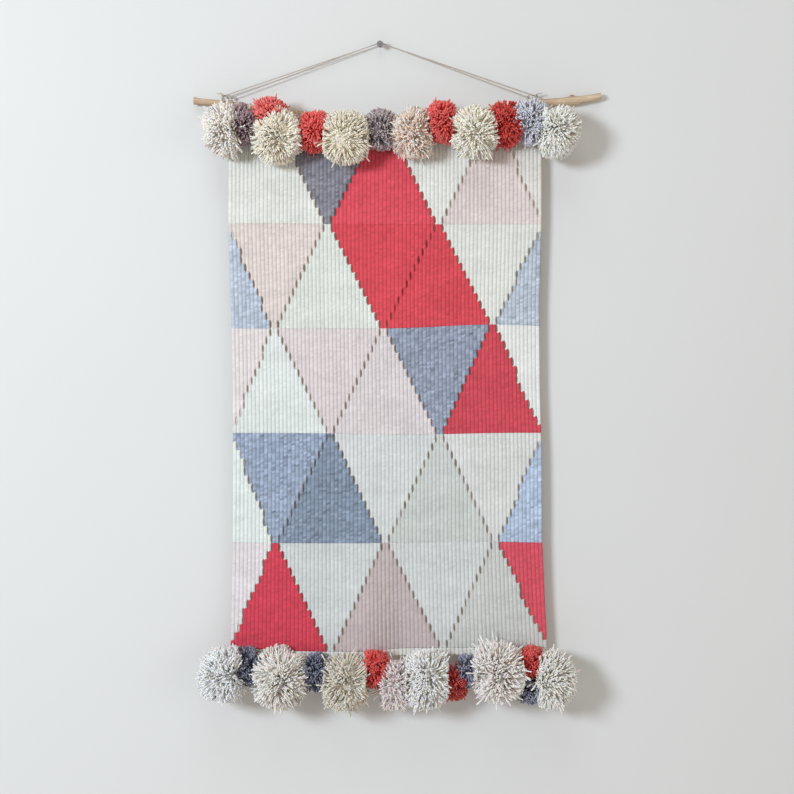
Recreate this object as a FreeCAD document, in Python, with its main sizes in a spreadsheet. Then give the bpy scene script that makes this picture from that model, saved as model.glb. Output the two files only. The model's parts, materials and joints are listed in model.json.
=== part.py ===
"""Woven wall hanging: a striped-rib tapestry on a stick, hung by a doubled cord from one nail.

Millimetres. The origin is on the nail's axis where the nail enters the wall: X to the right,
Y into the wall, Z up. Every size is a cell of the spreadsheet "Sizes"; the lists below say
which warp each block of weave stops at and which yarn it is woven in.
"""
import FreeCAD, Part

import math
import os

APP = FreeCAD
doc = APP.newDocument("wall_hanging")
sheet = doc.addObject("Spreadsheet::Sheet", "Sizes")

SIZES = {
    # nail
    "shank_radius": 1.1, "shank_bury": 22.0,
    "nail_radius": 1.3, "nail_proud": 10.0,
    "nail_head_radius": 3.4, "nail_head_thick": 1.4,
    # hanging cord
    "cord_radius": 0.6, "cord_clear": 0.35,
    "cord_a_out": 5.2, "cord_b_out": 6.8,
    "cord_a_left": 174.0, "cord_a_right": 173.0,
    "cord_b_left": 164.5, "cord_b_right": 163.5,
    "wrap_radius": 6.2, "wrap_half_width": 1.8, "knot_radius": 2.1, "knot_sink": 0.2,
    # stick
    "stick_out": 6.8, "stick_pivot_drop": 66.3,
    "stick_low_drop": 82.5, "stick_low_across": -1.0, "stick_sag": 17.5, "stick_sag_reach": 175.0,
    "stick_nub_radius": 3.4, "stick_nub_across": 212.0, "stick_nub_drop": 59.4,
    # weave
    "weave_left": 165.0, "weave_front": 16.0, "weave_thick": 4.0,
    "warp_pitch": 4.34, "warp_radius": 0.6, "slit_gap": 0.8, "fold_gap": 0.5,
    "weave_top": 83.0, "header_height": 4.0, "hem_height": 7.4, "level_count": 13,
    "height_1": 117.2, "height_2": 114.4, "height_3": 115.0, "height_4": 121.0, "height_5": 115.5,
    # warp loops over the stick
    "loop_radius": 0.6, "loop_bend": 6.0, "loop_lift": 0.5,
    "loop_front_out": 14.0, "loop_back_out": 11.3, "loop_back_drop": 95.0,
    # pom-poms
    "pom_clear": 0.4, "pom_rise": 0.55, "pom_side_gap": 0.7, "pom_room": 80.0,
}

WARPS = 79
LEVELS = 13
LEFT_APEX, MID_APEX, RIGHT_APEX = 11, 39, 67
# Yarn of the seven fields of each row, left edge to right edge; True: the odd fields widen downward.
ROWS = [
    (True, ["cream", "cream", "grey", "coral", "cream", "blush", "cream"]),
    (False, ["pale_grey", "blush", "cream", "coral", "coral", "cream", "pale_grey"]),
    (True, ["blush", "cream", "blush", "blush", "grey", "coral", "cream"]),
    (False, ["cream", "grey", "grey", "cream", "cream", "cream", "pale_grey"]),
    (True, ["blush", "coral", "cream", "blush", "cream", "cream", "coral"]),
]

# Stick: across and radius where it sags evenly, and across, drop and radius of its two tips.
STICK_SPAN = [
    (-170.0, 4.3), (-140.0, 4.5), (-110.0, 4.7), (-75.0, 4.8), (-40.0, 4.9), (0.0, 4.9),
    (40.0, 4.9), (75.0, 4.9), (110.0, 4.8), (140.0, 4.7), (170.0, 4.4),
]
LEFT_TIP = [(-206.0, 62.0, 4.2), (-197.0, 62.9, 3.5), (-184.0, 64.4, 3.8)]
RIGHT_TIP = [
    (184.0, 64.5, 4.5), (198.0, 63.7, 4.8), (212.0, 62.3, 5.0), (228.0, 60.0, 4.2),
    (244.0, 57.0, 3.7),
]

# Pom-poms: yarn, across, drop, radius, left limit, right limit, upper limit, lower limit.
OPEN = None
TOP_POMS = [
    ("cream", -166.0, 100.0, 29.5, OPEN, -160.5, OPEN, OPEN),
    ("grey", -151.0, 93.0, 22.5, -160.5, -140.5, OPEN, OPEN),
    ("red", -121.5, 85.0, 22.0, -140.5, -98.5, OPEN, 82.0),
    ("cream", -110.5, 108.5, 30.0, -140.5, -81.5, 82.0, OPEN),
    ("red", -71.0, 100.5, 23.0, -81.5, -60.5, OPEN, OPEN),
    ("cream", -38.0, 111.5, 30.0, -60.5, -13.0, OPEN, OPEN),
    ("grey", 3.0, 98.5, 22.5, -13.0, 15.0, OPEN, OPEN),
    ("blush", 36.5, 103.0, 28.0, 15.0, 56.0, OPEN, OPEN),
    ("red", 68.5, 90.5, 23.0, 56.0, 79.0, OPEN, OPEN),
    ("cream", 101.5, 102.5, 29.0, 79.0, 127.0, OPEN, OPEN),
    ("red", 137.0, 92.5, 25.0, 127.0, 147.5, OPEN, OPEN),
    ("grey", 163.5, 90.0, 25.5, 147.5, 178.0, OPEN, OPEN),
    ("cream", 188.0, 100.5, 30.5, 178.0, OPEN, OPEN, OPEN),
]
HEM_POMS = [
    ("cream", -166.0, 692.5, 31.5, OPEN, -155.0, OPEN, OPEN),
    ("dark_grey", -145.5, 683.5, 21.5, -155.0, -136.0, OPEN, OPEN),
    ("cream", -109.0, 694.5, 34.0, -136.0, -80.0, OPEN, OPEN),
    ("dark_grey", -70.0, 689.5, 22.5, -80.0, -60.0, OPEN, OPEN),
    ("cream", -38.0, 700.0, 31.0, -60.0, -15.0, OPEN, OPEN),
    ("red", -5.5, 686.5, 21.0, -15.0, 4.0, OPEN, OPEN),
    ("blush", 16.5, 704.0, 26.5, 4.0, 28.0, OPEN, OPEN),
    ("cream", 51.0, 695.5, 32.0, 28.0, 73.0, OPEN, OPEN),
    ("red", 81.5, 701.5, 19.5, 73.0, 89.0, OPEN, OPEN),
    ("dark_grey", 97.0, 688.5, 18.5, 89.0, 104.0, OPEN, OPEN),
    ("blush", 130.5, 689.5, 34.0, 104.0, 154.0, OPEN, OPEN),
    ("red", 161.0, 679.5, 20.5, 154.0, 173.0, OPEN, 695.0),
    ("dark_grey", 165.0, 706.0, 19.5, 154.0, 173.0, 695.0, OPEN),
    ("cream", 183.5, 696.5, 31.5, 173.0, OPEN, OPEN, OPEN),
]


def fill_sheet():
    """Writes every size into the spreadsheet and names its cell."""
    for line, (alias, value) in enumerate(SIZES.items(), start=1):
        sheet.set("A%d" % line, alias)
        sheet.set("B%d" % line, str(value))
        sheet.setAlias("B%d" % line, alias)
    doc.recompute()


def cell(alias):
    """The expression for one cell."""
    return "Sizes." + alias


def size(alias):
    """The number in one cell."""
    return float(sheet.get(alias))


def make(kind, name, sizes, at=(None, None, None), turn=None):
    """A primitive with its sizes and position bound to expressions."""
    item = doc.addObject(kind, name)
    if turn is not None:
        item.Placement.Rotation = turn
    for prop, expression in sizes.items():
        item.setExpression(prop, expression)
    for axis, expression in zip("xyz", at):
        if expression is not None:
            item.setExpression("Placement.Base." + axis, expression)
    return item


def label(item, node):
    """Names a finished piece and adds it to the list that is written out."""
    item.Label = node
    pieces.append(item)
    return item


def fuse(items, name):
    """One boolean union of several shapes."""
    whole = doc.addObject("Part::MultiFuse", name)
    whole.Shapes = items
    whole.Refine = True
    return whole


def compound(items, name):
    """Loose pieces of one kind kept together."""
    whole = doc.addObject("Part::Compound", name)
    whole.Links = items
    return whole


INTO_WALL = APP.Rotation(APP.Vector(1, 0, 0), -90)
OUT_OF_WALL = APP.Rotation(APP.Vector(1, 0, 0), 90)
ALONG_STICK = APP.Rotation(APP.Vector(0, 1, 0), 90)
# Keeps a ball's seam and poles away from the planes that cut it.
SEAM_ASIDE = APP.Rotation(APP.Vector(3, 1, 2), 67)


def nail():
    """A round nail: the buried shank, the proud shank and the head."""
    buried = make("Part::Cylinder", "nail_buried",
                  {"Radius": cell("shank_radius"), "Height": cell("shank_bury")}, turn=INTO_WALL)
    proud = make("Part::Cylinder", "nail_proud",
                 {"Radius": cell("nail_radius"), "Height": cell("nail_proud")}, turn=OUT_OF_WALL)
    head = make("Part::Cylinder", "nail_head",
                {"Radius": cell("nail_head_radius"), "Height": cell("nail_head_thick")},
                ("0", "-" + cell("nail_proud"), "0"), OUT_OF_WALL)
    label(fuse([buried, proud, head], "nail"), "wall_nail")


def tube(name, wire, radius_alias, start, direction):
    """A round cord swept along a wire from its first point."""
    spine = doc.addObject("Part::Feature", name + "_path")
    spine.Shape = wire
    ring = make("Part::Circle", name + "_section", {"Radius": cell(radius_alias)})
    turn = APP.Rotation(APP.Vector(0, 0, 1), direction)
    ring.Placement = APP.Placement(start, turn)
    cord = doc.addObject("Part::Sweep", name)
    cord.Sections = [ring]
    cord.Spine = (spine, ["Edge%d" % (n + 1) for n in range(len(wire.Edges))])
    cord.Solid = True
    return cord


def stick_drop(across):
    """How far below the nail the sagging stick's middle line runs."""
    reach = (across - size("stick_low_across")) / size("stick_sag_reach")
    return size("stick_low_drop") - size("stick_sag") * reach ** 2


def knot_drop(across):
    """How far below the nail a knot sits, on top of the turns round the stick."""
    turns = size("wrap_radius") + size("cord_radius")
    return stick_drop(across) - turns - size("knot_radius") + size("knot_sink")


def touch_angle(across, drop, bend):
    """Angle at which a taut line from (across, -drop) touches a circle round the origin."""
    reach = math.hypot(across, drop)
    return math.acos(bend / reach)


def hanging_cord(name):
    """One strand, straight from knot to nail, over the nail and straight to the other knot."""
    bend = size("nail_radius") + size("cord_clear") + size("cord_radius")
    out = -size(name + "_out")
    left_across, right_across = -size(name + "_left"), size(name + "_right")
    left = APP.Vector(left_across, out, -knot_drop(left_across))
    right = APP.Vector(right_across, out, -knot_drop(right_across))
    left_at = math.atan2(left.z, left.x) - touch_angle(left.x, left.z, bend)
    right_at = math.atan2(right.z, right.x) + touch_angle(right.x, right.z, bend)

    def on_nail(angle):
        return APP.Vector(bend * math.cos(angle), out, bend * math.sin(angle))

    top = on_nail(math.pi / 2)
    edges = [
        Part.LineSegment(left, on_nail(left_at)).toShape(),
        Part.Arc(on_nail(left_at), top, on_nail(right_at)).toShape(),
        Part.LineSegment(on_nail(right_at), right).toShape(),
    ]
    path = Part.Wire(edges)
    strand = tube("hanging_" + name, path, "cord_radius", left, on_nail(left_at) - left)
    label(strand, "hanging_" + name)


def stick_knots():
    """The turns round the stick and a knot at each end of each strand."""
    parts = []
    places = [-size("cord_a_left"), -size("cord_b_left"),
              size("cord_b_right"), size("cord_a_right")]
    for place, across in enumerate(places):
        start = ("%s - %s" % (across, cell("wrap_half_width")),
                 "-" + cell("stick_out"), str(-stick_drop(across)))
        outside = make("Part::Cylinder", "turns_outside_%d" % place, {
            "Radius": "%s + %s" % (cell("wrap_radius"), cell("cord_radius")),
            "Height": "2 * " + cell("wrap_half_width")}, start, ALONG_STICK)
        inside = make("Part::Cylinder", "turns_inside_%d" % place, {
            "Radius": "%s - %s" % (cell("wrap_radius"), cell("cord_radius")),
            "Height": "2 * " + cell("wrap_half_width")}, start, ALONG_STICK)
        turns = doc.addObject("Part::Cut", "turns_%d" % place)
        turns.Base = outside
        turns.Tool = inside
        parts.append(turns)
        parts.append(make("Part::Sphere", "knot_%d" % place, {"Radius": cell("knot_radius")},
                          (str(across), "-" + cell("stick_out"), str(-knot_drop(across)))))
    label(compound(parts, "knots"), "stick_knots")


def stick():
    """A branch that sags between its raised tips, lofted through rings, with one nub."""
    sagging = [(across, stick_drop(across), radius) for across, radius in STICK_SPAN]
    rings = []
    for place, (across, drop, radius) in enumerate(LEFT_TIP + sagging + RIGHT_TIP):
        ring = make("Part::Circle", "stick_ring_%d" % place, {"Radius": str(radius)},
                    (str(across), "-" + cell("stick_out"), str(-drop)), ALONG_STICK)
        rings.append(ring)
    branch = doc.addObject("Part::Loft", "branch")
    branch.Sections = rings
    branch.Solid = True
    nub = make("Part::Sphere", "stick_nub", {"Radius": cell("stick_nub_radius")},
               (cell("stick_nub_across"), "-" + cell("stick_out"), "-" + cell("stick_nub_drop")))
    label(fuse([branch, nub], "whole_stick"), "stick")


def warp_loops():
    """Doubled warp ends from the header over the stick to the back of the weave."""
    out = -size("stick_out")
    bend = size("loop_bend")
    front_drop = size("weave_top") - size("header_height") - size("loop_lift")
    first, last = 1, 36
    loops = []
    for number in range(first, last + 1):
        across = -size("weave_left") + 2 * size("warp_pitch") * (number + 0.5)
        drop = stick_drop(across)
        front_foot = APP.Vector(across, -size("loop_front_out"), -front_drop)
        back_foot = APP.Vector(across, -size("loop_back_out"), -size("loop_back_drop"))

        def tangent(foot, side):
            """Angle where a straight leg from a foot touches the circle round the stick."""
            y, z = foot.y - out, foot.z + drop
            return math.atan2(z, y) + side * math.acos(bend / math.hypot(y, z))

        def on_circle(angle):
            return APP.Vector(across, out + bend * math.cos(angle), -drop + bend * math.sin(angle))

        front = tangent(front_foot, -1) % (2 * math.pi)
        back = tangent(back_foot, 1)
        middle = on_circle((front + back) / 2)
        edges = [
            Part.LineSegment(front_foot, on_circle(front)).toShape(),
            Part.Arc(on_circle(front), middle, on_circle(back)).toShape(),
            Part.LineSegment(on_circle(back), back_foot).toShape(),
        ]
        loops.append(tube("loop_%d" % number, Part.Wire(edges), "loop_radius",
                          front_foot, on_circle(front) - front_foot))
    label(compound(loops, "loops"), "warp_loops")


def row_top(row):
    """Expression for how far below the nail a row starts."""
    heights = [cell("height_%d" % (n + 1)) for n in range(row)]
    return " + ".join([cell("weave_top")] + heights)


def field_edges(step):
    """Warps at which the seven fields of a row meet, step levels from the odd fields' points."""
    wide = step + 1
    left = round(LEFT_APEX - LEFT_APEX * wide / LEVELS)
    right = round(RIGHT_APEX + (WARPS - RIGHT_APEX) * wide / LEVELS)
    return [0, left, LEFT_APEX + wide, MID_APEX - wide, MID_APEX + wide,
            RIGHT_APEX - wide, right, WARPS]


def level_block(row, level, field, first, last):
    """One step of one field: the weave between two warps over one level's height."""
    name = "row_%d_level_%d_field_%d" % (row + 1, level, field)
    left_gap = "0" if first == 0 else cell("slit_gap") + " / 2"
    right_gap = "0" if last == WARPS else cell("slit_gap") + " / 2"
    under_gap = cell("fold_gap") + " / 2" if level == LEVELS - 1 and row < len(ROWS) - 1 else "0"
    over_gap = cell("fold_gap") + " / 2" if level == 0 and row > 0 else "0"
    tall = "%s / %s" % (cell("height_%d" % (row + 1)), cell("level_count"))
    return make("Part::Box", name, {
        "Length": "%d * %s - %s - %s" % (last - first, cell("warp_pitch"), left_gap, right_gap),
        "Width": cell("weave_thick"),
        "Height": "%s - %s - %s" % (tall, under_gap, over_gap),
    }, (
        "-%s + %d * %s + %s" % (cell("weave_left"), first, cell("warp_pitch"), left_gap),
        "-" + cell("weave_front"),
        "-(%s) - %d * %s + %s" % (row_top(row), level + 1, tall, under_gap),
    ))


def woven_row(row):
    """Every field of one row, one piece for each yarn."""
    widens_down, yarns = ROWS[row]
    blocks = {}
    for level in range(LEVELS):
        edges = field_edges(level if widens_down else LEVELS - 1 - level)
        for field, yarn in enumerate(yarns):
            first, last = edges[field], edges[field + 1]
            if last > first:
                blocks.setdefault(yarn, []).append(level_block(row, level, field, first, last))
    for yarn, parts in blocks.items():
        node = "row_%d_%s" % (row + 1, yarn)
        label(fuse(parts, node + "_fields"), node)


def warps(row):
    """The warps inside one row of weave."""
    threads = []
    last_row = row == len(ROWS) - 1
    under = "0" if last_row else cell("fold_gap")
    over = "0" if row == 0 else cell("fold_gap")
    for number in range(WARPS):
        threads.append(make("Part::Cylinder", "row_%d_warp_%d" % (row + 1, number), {
            "Radius": cell("warp_radius"),
            "Height": "%s - %s - %s" % (cell("height_%d" % (row + 1)), under, over),
        }, (
            "-%s + %s * %s" % (cell("weave_left"), number + 0.5, cell("warp_pitch")),
            "-%s + %s / 2" % (cell("weave_front"), cell("weave_thick")),
            "-(%s) + %s" % (row_top(row + 1), under),
        )))
    label(compound(threads, "row_%d_threads" % (row + 1)), "row_%d_warps" % (row + 1))


def band(name, top, tall_alias):
    """A plain strip across the whole width of the weave."""
    strip = make("Part::Box", name + "_strip", {
        "Length": "%d * %s" % (WARPS, cell("warp_pitch")),
        "Width": cell("weave_thick"),
        "Height": cell(tall_alias),
    }, ("-" + cell("weave_left"), "-" + cell("weave_front"), "%s - %s" % (top, cell(tall_alias))))
    label(strip, name)


def pom_pom(node, across, drop, radius, left, right, upper, lower):
    """A ball of yarn, flat at the back and pressed flat where it meets its neighbours."""
    gap = cell("pom_side_gap") + " / 2"
    flat = "(%s + %s)" % (cell("weave_front"), cell("pom_clear"))
    ball = make("Part::Sphere", node + "_ball", {"Radius": str(radius)},
                (str(across), "-%s - %s * %s" % (flat, cell("pom_rise"), radius), str(-drop)),
                SEAM_ASIDE)
    low_x = "%s + %s" % (left, gap) if left is not OPEN else "%s - %s" % (across, radius + 1)
    high_x = "%s - %s" % (right, gap) if right is not OPEN else "%s + %s" % (across, radius + 1)
    low_z = "%s + %s" % (-lower, gap) if lower is not OPEN else "%s - %s" % (-drop, radius + 1)
    high_z = "%s - %s" % (-upper, gap) if upper is not OPEN else "%s + %s" % (-drop, radius + 1)
    room = make("Part::Box", node + "_room", {
        "Length": "(%s) - (%s)" % (high_x, low_x),
        "Width": cell("pom_room"),
        "Height": "(%s) - (%s)" % (high_z, low_z),
    }, (low_x, "-%s - %s" % (flat, cell("pom_room")), low_z))
    pressed = doc.addObject("Part::Common", node + "_pressed")
    pressed.Base = ball
    pressed.Tool = room
    label(pressed, node)


def write_all():
    """Checks every piece and writes one file for each."""
    doc.recompute()
    os.makedirs("parts", exist_ok=True)
    for item in pieces:
        state = " ".join(item.State)
        if "Invalid" in state or "Error" in state:
            raise RuntimeError("%s: %s" % (item.Label, state))
        if item.Shape.isNull() or not item.Shape.isValid():
            raise RuntimeError("%s has no valid shape" % item.Label)
        item.Shape.exportStep("parts/%s.step" % item.Label)
    for strand in ("hanging_cord_a", "hanging_cord_b"):
        shape = doc.getObjectsByLabel(strand)[0].Shape
        section = math.pi * size("cord_radius") ** 2
        path = doc.getObject(strand + "_path").Shape.Length
        print("%s: %.2f mm long, volume over section %.2f mm, radius %.2f mm"
              % (strand, path, shape.Volume / section, size("cord_radius")))


pieces = []
fill_sheet()
nail()
hanging_cord("cord_a")
hanging_cord("cord_b")
stick_knots()
stick()
warp_loops()
band("header_band", "-%s + %s" % (cell("weave_top"), cell("header_height")), "header_height")
for row_number in range(len(ROWS)):
    woven_row(row_number)
    warps(row_number)
band("hem_band", "-(%s)" % row_top(len(ROWS)), "hem_height")
for pom_number, pom in enumerate(TOP_POMS, start=1):
    pom_pom("pom_top_%02d_%s" % (pom_number, pom[0]), *pom[1:])
for pom_number, pom in enumerate(HEM_POMS, start=1):
    pom_pom("pom_hem_%02d_%s" % (pom_number, pom[0]), *pom[1:])
write_all()
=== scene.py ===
"""The wall hanging's looks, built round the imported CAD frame. Metres; +Y is into the wall."""
import json
import math

import bpy
import numpy as np
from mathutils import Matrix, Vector


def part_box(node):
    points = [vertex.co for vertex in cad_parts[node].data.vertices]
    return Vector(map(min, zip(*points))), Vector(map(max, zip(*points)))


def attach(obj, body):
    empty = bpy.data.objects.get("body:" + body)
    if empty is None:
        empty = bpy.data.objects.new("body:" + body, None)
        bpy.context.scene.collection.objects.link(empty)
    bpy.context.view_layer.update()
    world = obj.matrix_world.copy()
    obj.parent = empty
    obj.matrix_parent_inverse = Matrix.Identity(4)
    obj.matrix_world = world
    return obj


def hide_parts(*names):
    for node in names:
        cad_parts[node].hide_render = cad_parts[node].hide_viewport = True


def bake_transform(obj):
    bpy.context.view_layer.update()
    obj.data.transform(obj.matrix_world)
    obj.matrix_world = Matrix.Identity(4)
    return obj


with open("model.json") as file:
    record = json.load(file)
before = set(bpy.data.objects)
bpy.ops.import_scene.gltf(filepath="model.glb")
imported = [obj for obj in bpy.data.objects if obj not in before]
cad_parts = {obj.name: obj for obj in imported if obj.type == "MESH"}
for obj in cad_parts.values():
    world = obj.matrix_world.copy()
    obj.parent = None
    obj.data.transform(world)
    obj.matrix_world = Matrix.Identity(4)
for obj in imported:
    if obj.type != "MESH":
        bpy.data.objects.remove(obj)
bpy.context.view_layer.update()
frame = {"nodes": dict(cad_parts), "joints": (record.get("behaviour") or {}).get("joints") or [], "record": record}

MM = 0.001
SEED = 20
JOINTS = {j["name"]: j for j in frame["joints"]}
BASE = {m["slot"]: m["base_color"][:3] for m in frame["record"]["materials"]}


# ---------------------------------------------------------------- meshes
def mesh_object(name, points, quads, colours=None):
    """A smooth mesh of quads from arrays, with named point colours."""
    points = np.asarray(points, np.float32).reshape(-1, 3)
    quads = np.asarray(quads, np.int32).reshape(-1, 4)
    data = bpy.data.meshes.new(name)
    data.vertices.add(len(points))
    data.vertices.foreach_set("co", points.ravel())
    data.loops.add(quads.size)
    data.loops.foreach_set("vertex_index", quads.ravel())
    data.polygons.add(len(quads))
    data.polygons.foreach_set("loop_start", np.arange(0, quads.size, 4, dtype=np.int32))
    data.update(calc_edges=True)
    data.polygons.foreach_set("use_smooth", np.ones(len(quads), bool))
    for key, values in (colours or {}).items():
        layer = data.attributes.new(key, "FLOAT_COLOR", "POINT")
        rgba = np.ones((len(points), 4), np.float32)
        rgba[:, :3] = np.asarray(values, np.float32).reshape(-1, 3)
        layer.data.foreach_set("color", rgba.ravel())
    data.validate()
    obj = bpy.data.objects.new(name, data)
    bpy.context.scene.collection.objects.link(obj)
    return obj


def unit(vectors):
    """Each vector at length one."""
    length = np.linalg.norm(vectors, axis=-1, keepdims=True)
    return vectors / np.maximum(length, 1e-12)


def tube_quads(strands, rings, sides):
    """Faces of several tubes whose points are numbered strand by strand, ring by ring."""
    start = (np.arange(strands) * rings * sides)[:, None, None]
    ring = (np.arange(rings - 1) * sides)[None, :, None]
    side = np.arange(sides)[None, None, :]
    after = (side + 1) % sides
    corner = [start + ring + side, start + ring + after,
              start + ring + sides + after, start + ring + sides + side]
    walls = np.stack([np.broadcast_to(c, (strands, rings - 1, sides)) for c in corner], -1)
    caps = []
    for first, flip in ((0, True), ((rings - 1) * sides, False)):
        for k in range(1, sides - 1, 2):
            cap = [first, first + k, first + k + 1, first + k + 2]
            if k + 2 >= sides:
                cap = [first, first + k, first + k + 1, first + k + 1]
            caps.append(cap[::-1] if flip else cap)
    caps = np.array(caps)[None] + start
    return np.concatenate([walls.reshape(-1, 4), caps.reshape(-1, 4)])


def short_tubes(paths, radii, sides, guide):
    """Points of many short curved tubes; guide is a vector across each tube."""
    along = unit(np.gradient(paths, axis=1))
    across = unit(np.cross(along, guide[:, None, :]))
    other = np.cross(along, across)
    turn = np.arange(sides) * (2 * math.pi / sides)
    ring = (across[:, :, None] * np.cos(turn)[:, None]
            + other[:, :, None] * np.sin(turn)[:, None])
    return paths[:, :, None] + ring * radii[:, :, None, None]


def frames_along(path):
    """Tangents, normals and binormals that turn as little as they can along a path."""
    along = unit(np.gradient(path, axis=0))
    normal = np.cross(along[0], (0.3, 0.2, 1.0))
    normals = []
    for step in along:
        normal = normal - step * normal.dot(step)
        normal = normal / np.linalg.norm(normal)
        normals.append(normal)
    normals = np.array(normals)
    return along, normals, np.cross(along, normals)


def resample(path, spacing):
    """The same path with points about spacing apart."""
    path = np.asarray(path, float)
    run = np.concatenate([[0], np.cumsum(np.linalg.norm(np.diff(path, axis=0), axis=1))])
    wanted = np.linspace(0, run[-1], max(3, int(run[-1] / spacing) + 1))
    return np.stack([np.interp(wanted, run, path[:, k]) for k in range(3)], 1)


def smooth_path(points, per_span=12):
    """A Catmull-Rom curve through given points."""
    points = np.asarray(points, float)
    ends = np.concatenate([[2 * points[0] - points[1]], points, [2 * points[-1] - points[-2]]])
    out = []
    for a, b, c, d in zip(ends, ends[1:], ends[2:], ends[3:]):
        for t in np.linspace(0, 1, per_span, endpoint=False):
            out.append(0.5 * (2 * b + (c - a) * t + (2 * a - 5 * b + 4 * c - d) * t * t
                              + (3 * b - a - 3 * c + d) * t ** 3))
    out.append(points[-1])
    return np.array(out)


def plied(path, radius, lay=3.2 * MM, sides=6, per_turn=9):
    """Points and quads of two plies twisted round a path."""
    path = resample(path, lay / per_turn)
    _, normal, binormal = frames_along(path)
    turns = np.arange(len(path)) / per_turn * 2 * math.pi
    points, quads, count = [], [], 0
    for ply in (0, math.pi):
        angle = turns + ply
        centre = path + (normal * np.cos(angle)[:, None]
                         + binormal * np.sin(angle)[:, None]) * radius * 0.46
        _, n, b = frames_along(centre)
        spin = np.arange(sides) * (2 * math.pi / sides)
        ring = n[:, None] * np.cos(spin)[:, None] + b[:, None] * np.sin(spin)[:, None]
        points.append((centre[:, None] + ring * radius * 0.56).reshape(-1, 3))
        quads.append(tube_quads(1, len(path), sides) + count)
        count += len(path) * sides
    return np.concatenate(points), np.concatenate(quads)


def joined(parts):
    """Several (points, quads) pairs as one."""
    points, quads, count = [], [], 0
    for p, q in parts:
        points.append(p)
        quads.append(q + count)
        count += len(p)
    return np.concatenate(points), np.concatenate(quads)


# ---------------------------------------------------------------- materials
def material(name, roughness, sheen=0.0, specular=0.3, metallic=0.0):
    """A Principled material and its nodes, with the plain values on its own sockets."""
    mat = bpy.data.materials.new(name)
    mat.use_nodes = True
    nodes, links = mat.node_tree.nodes, mat.node_tree.links
    shader = nodes["Principled BSDF"]
    shader.inputs["Roughness"].default_value = roughness
    shader.inputs["Sheen Weight"].default_value = sheen
    shader.inputs["Sheen Roughness"].default_value = 0.45
    shader.inputs["Specular IOR Level"].default_value = specular
    shader.inputs["Metallic"].default_value = metallic
    return mat, nodes, links, shader


def noise(nodes, links, scale, stretch=(1, 1, 1), detail=4.0, rough=0.55):
    """A noise texture in the object's own metres."""
    place = nodes.new("ShaderNodeTexCoord")
    fit = nodes.new("ShaderNodeMapping")
    fit.inputs["Scale"].default_value = stretch
    links.new(place.outputs["Object"], fit.inputs["Vector"])
    tex = nodes.new("ShaderNodeTexNoise")
    tex.inputs["Scale"].default_value = scale
    tex.inputs["Detail"].default_value = detail
    tex.inputs["Roughness"].default_value = rough
    links.new(fit.outputs["Vector"], tex.inputs["Vector"])
    return tex.outputs["Fac"]


def ramp(nodes, links, value, stops):
    """Colours or greys for a value from 0 to 1."""
    node = nodes.new("ShaderNodeValToRGB")
    elements = node.color_ramp.elements
    while len(elements) < len(stops):
        elements.new(0.5)
    for element, (at, colour) in zip(elements, stops):
        element.position = at
        element.color = (*colour, 1) if hasattr(colour, "__len__") else (colour,) * 3 + (1,)
    links.new(value, node.inputs["Fac"])
    return node.outputs["Color"]


def times(nodes, links, a, b):
    """Two colours multiplied."""
    node = nodes.new("ShaderNodeMix")
    node.data_type = "RGBA"
    node.blend_type = "MULTIPLY"
    node.inputs["Factor"].default_value = 1.0
    for value, socket in ((a, node.inputs["A"]), (b, node.inputs["B"])):
        if isinstance(value, (tuple, list)):
            socket.default_value = (*value, 1)
        else:
            links.new(value, socket)
    return node.outputs["Result"]


def attribute(nodes, name):
    """The colours kept on a mesh's points."""
    node = nodes.new("ShaderNodeAttribute")
    node.attribute_name = name
    return node.outputs["Color"]


def bump(nodes, links, shader, height, strength, distance):
    """Fine relief from a height."""
    node = nodes.new("ShaderNodeBump")
    node.inputs["Strength"].default_value = strength
    node.inputs["Distance"].default_value = distance
    links.new(height, node.inputs["Height"])
    links.new(node.outputs["Normal"], shader.inputs["Normal"])


def weft_material(slot_name, colour, mottle):
    """Wool weft beaten down: matt, each pick a shade apart, hairy across the rib."""
    mat, nodes, links, shader = material(slot_name, 0.95, sheen=0.06, specular=0.1)
    fibre = noise(nodes, links, 420, (1, 1, 4.5), detail=5, rough=0.7)
    patch = noise(nodes, links, 26, (1, 1, 2.2), detail=3)
    # The Tint attribute holds each field's dye together with the weave's painted shade.
    shade = times(nodes, links, tuple(colour), attribute(nodes, "Tint"))
    streak = ramp(nodes, links, fibre, [(0.25, 1 - mottle), (0.75, 1 + mottle * 0.4)])
    shade = times(nodes, links, shade, streak)
    cloud = ramp(nodes, links, patch, [(0.3, 0.93), (0.7, 1.03)])
    links.new(times(nodes, links, shade, cloud), shader.inputs["Base Color"])
    bump(nodes, links, shader, fibre, 0.55, 0.35 * MM)
    return mat


def strand_material(slot_name):
    """Cut plied yarn: each strand's own colour with painted shade towards the middle, paler at its tip, with the
    fibres' fuzz.
    """
    mat, nodes, links, shader = material(slot_name, 0.9, sheen=0.2, specular=0.1)
    fuzz = noise(nodes, links, 900, detail=3, rough=0.7)
    ply = noise(nodes, links, 260, detail=2)
    shade = times(nodes, links, attribute(nodes, "Strand"),
                  ramp(nodes, links, ply, [(0.3, 0.9), (0.7, 1.06)]))
    shade = times(nodes, links, shade, ramp(nodes, links, fuzz, [(0.3, 0.93), (0.7, 1.04)]))
    links.new(shade, shader.inputs["Base Color"])
    shader.inputs["Subsurface Weight"].default_value = 0.6
    shader.inputs["Subsurface Radius"].default_value = (1.0, 0.8, 0.6)
    shader.inputs["Subsurface Scale"].default_value = 3.0 * MM
    bump(nodes, links, shader, fuzz, 0.6, 0.3 * MM)
    return mat


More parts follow.
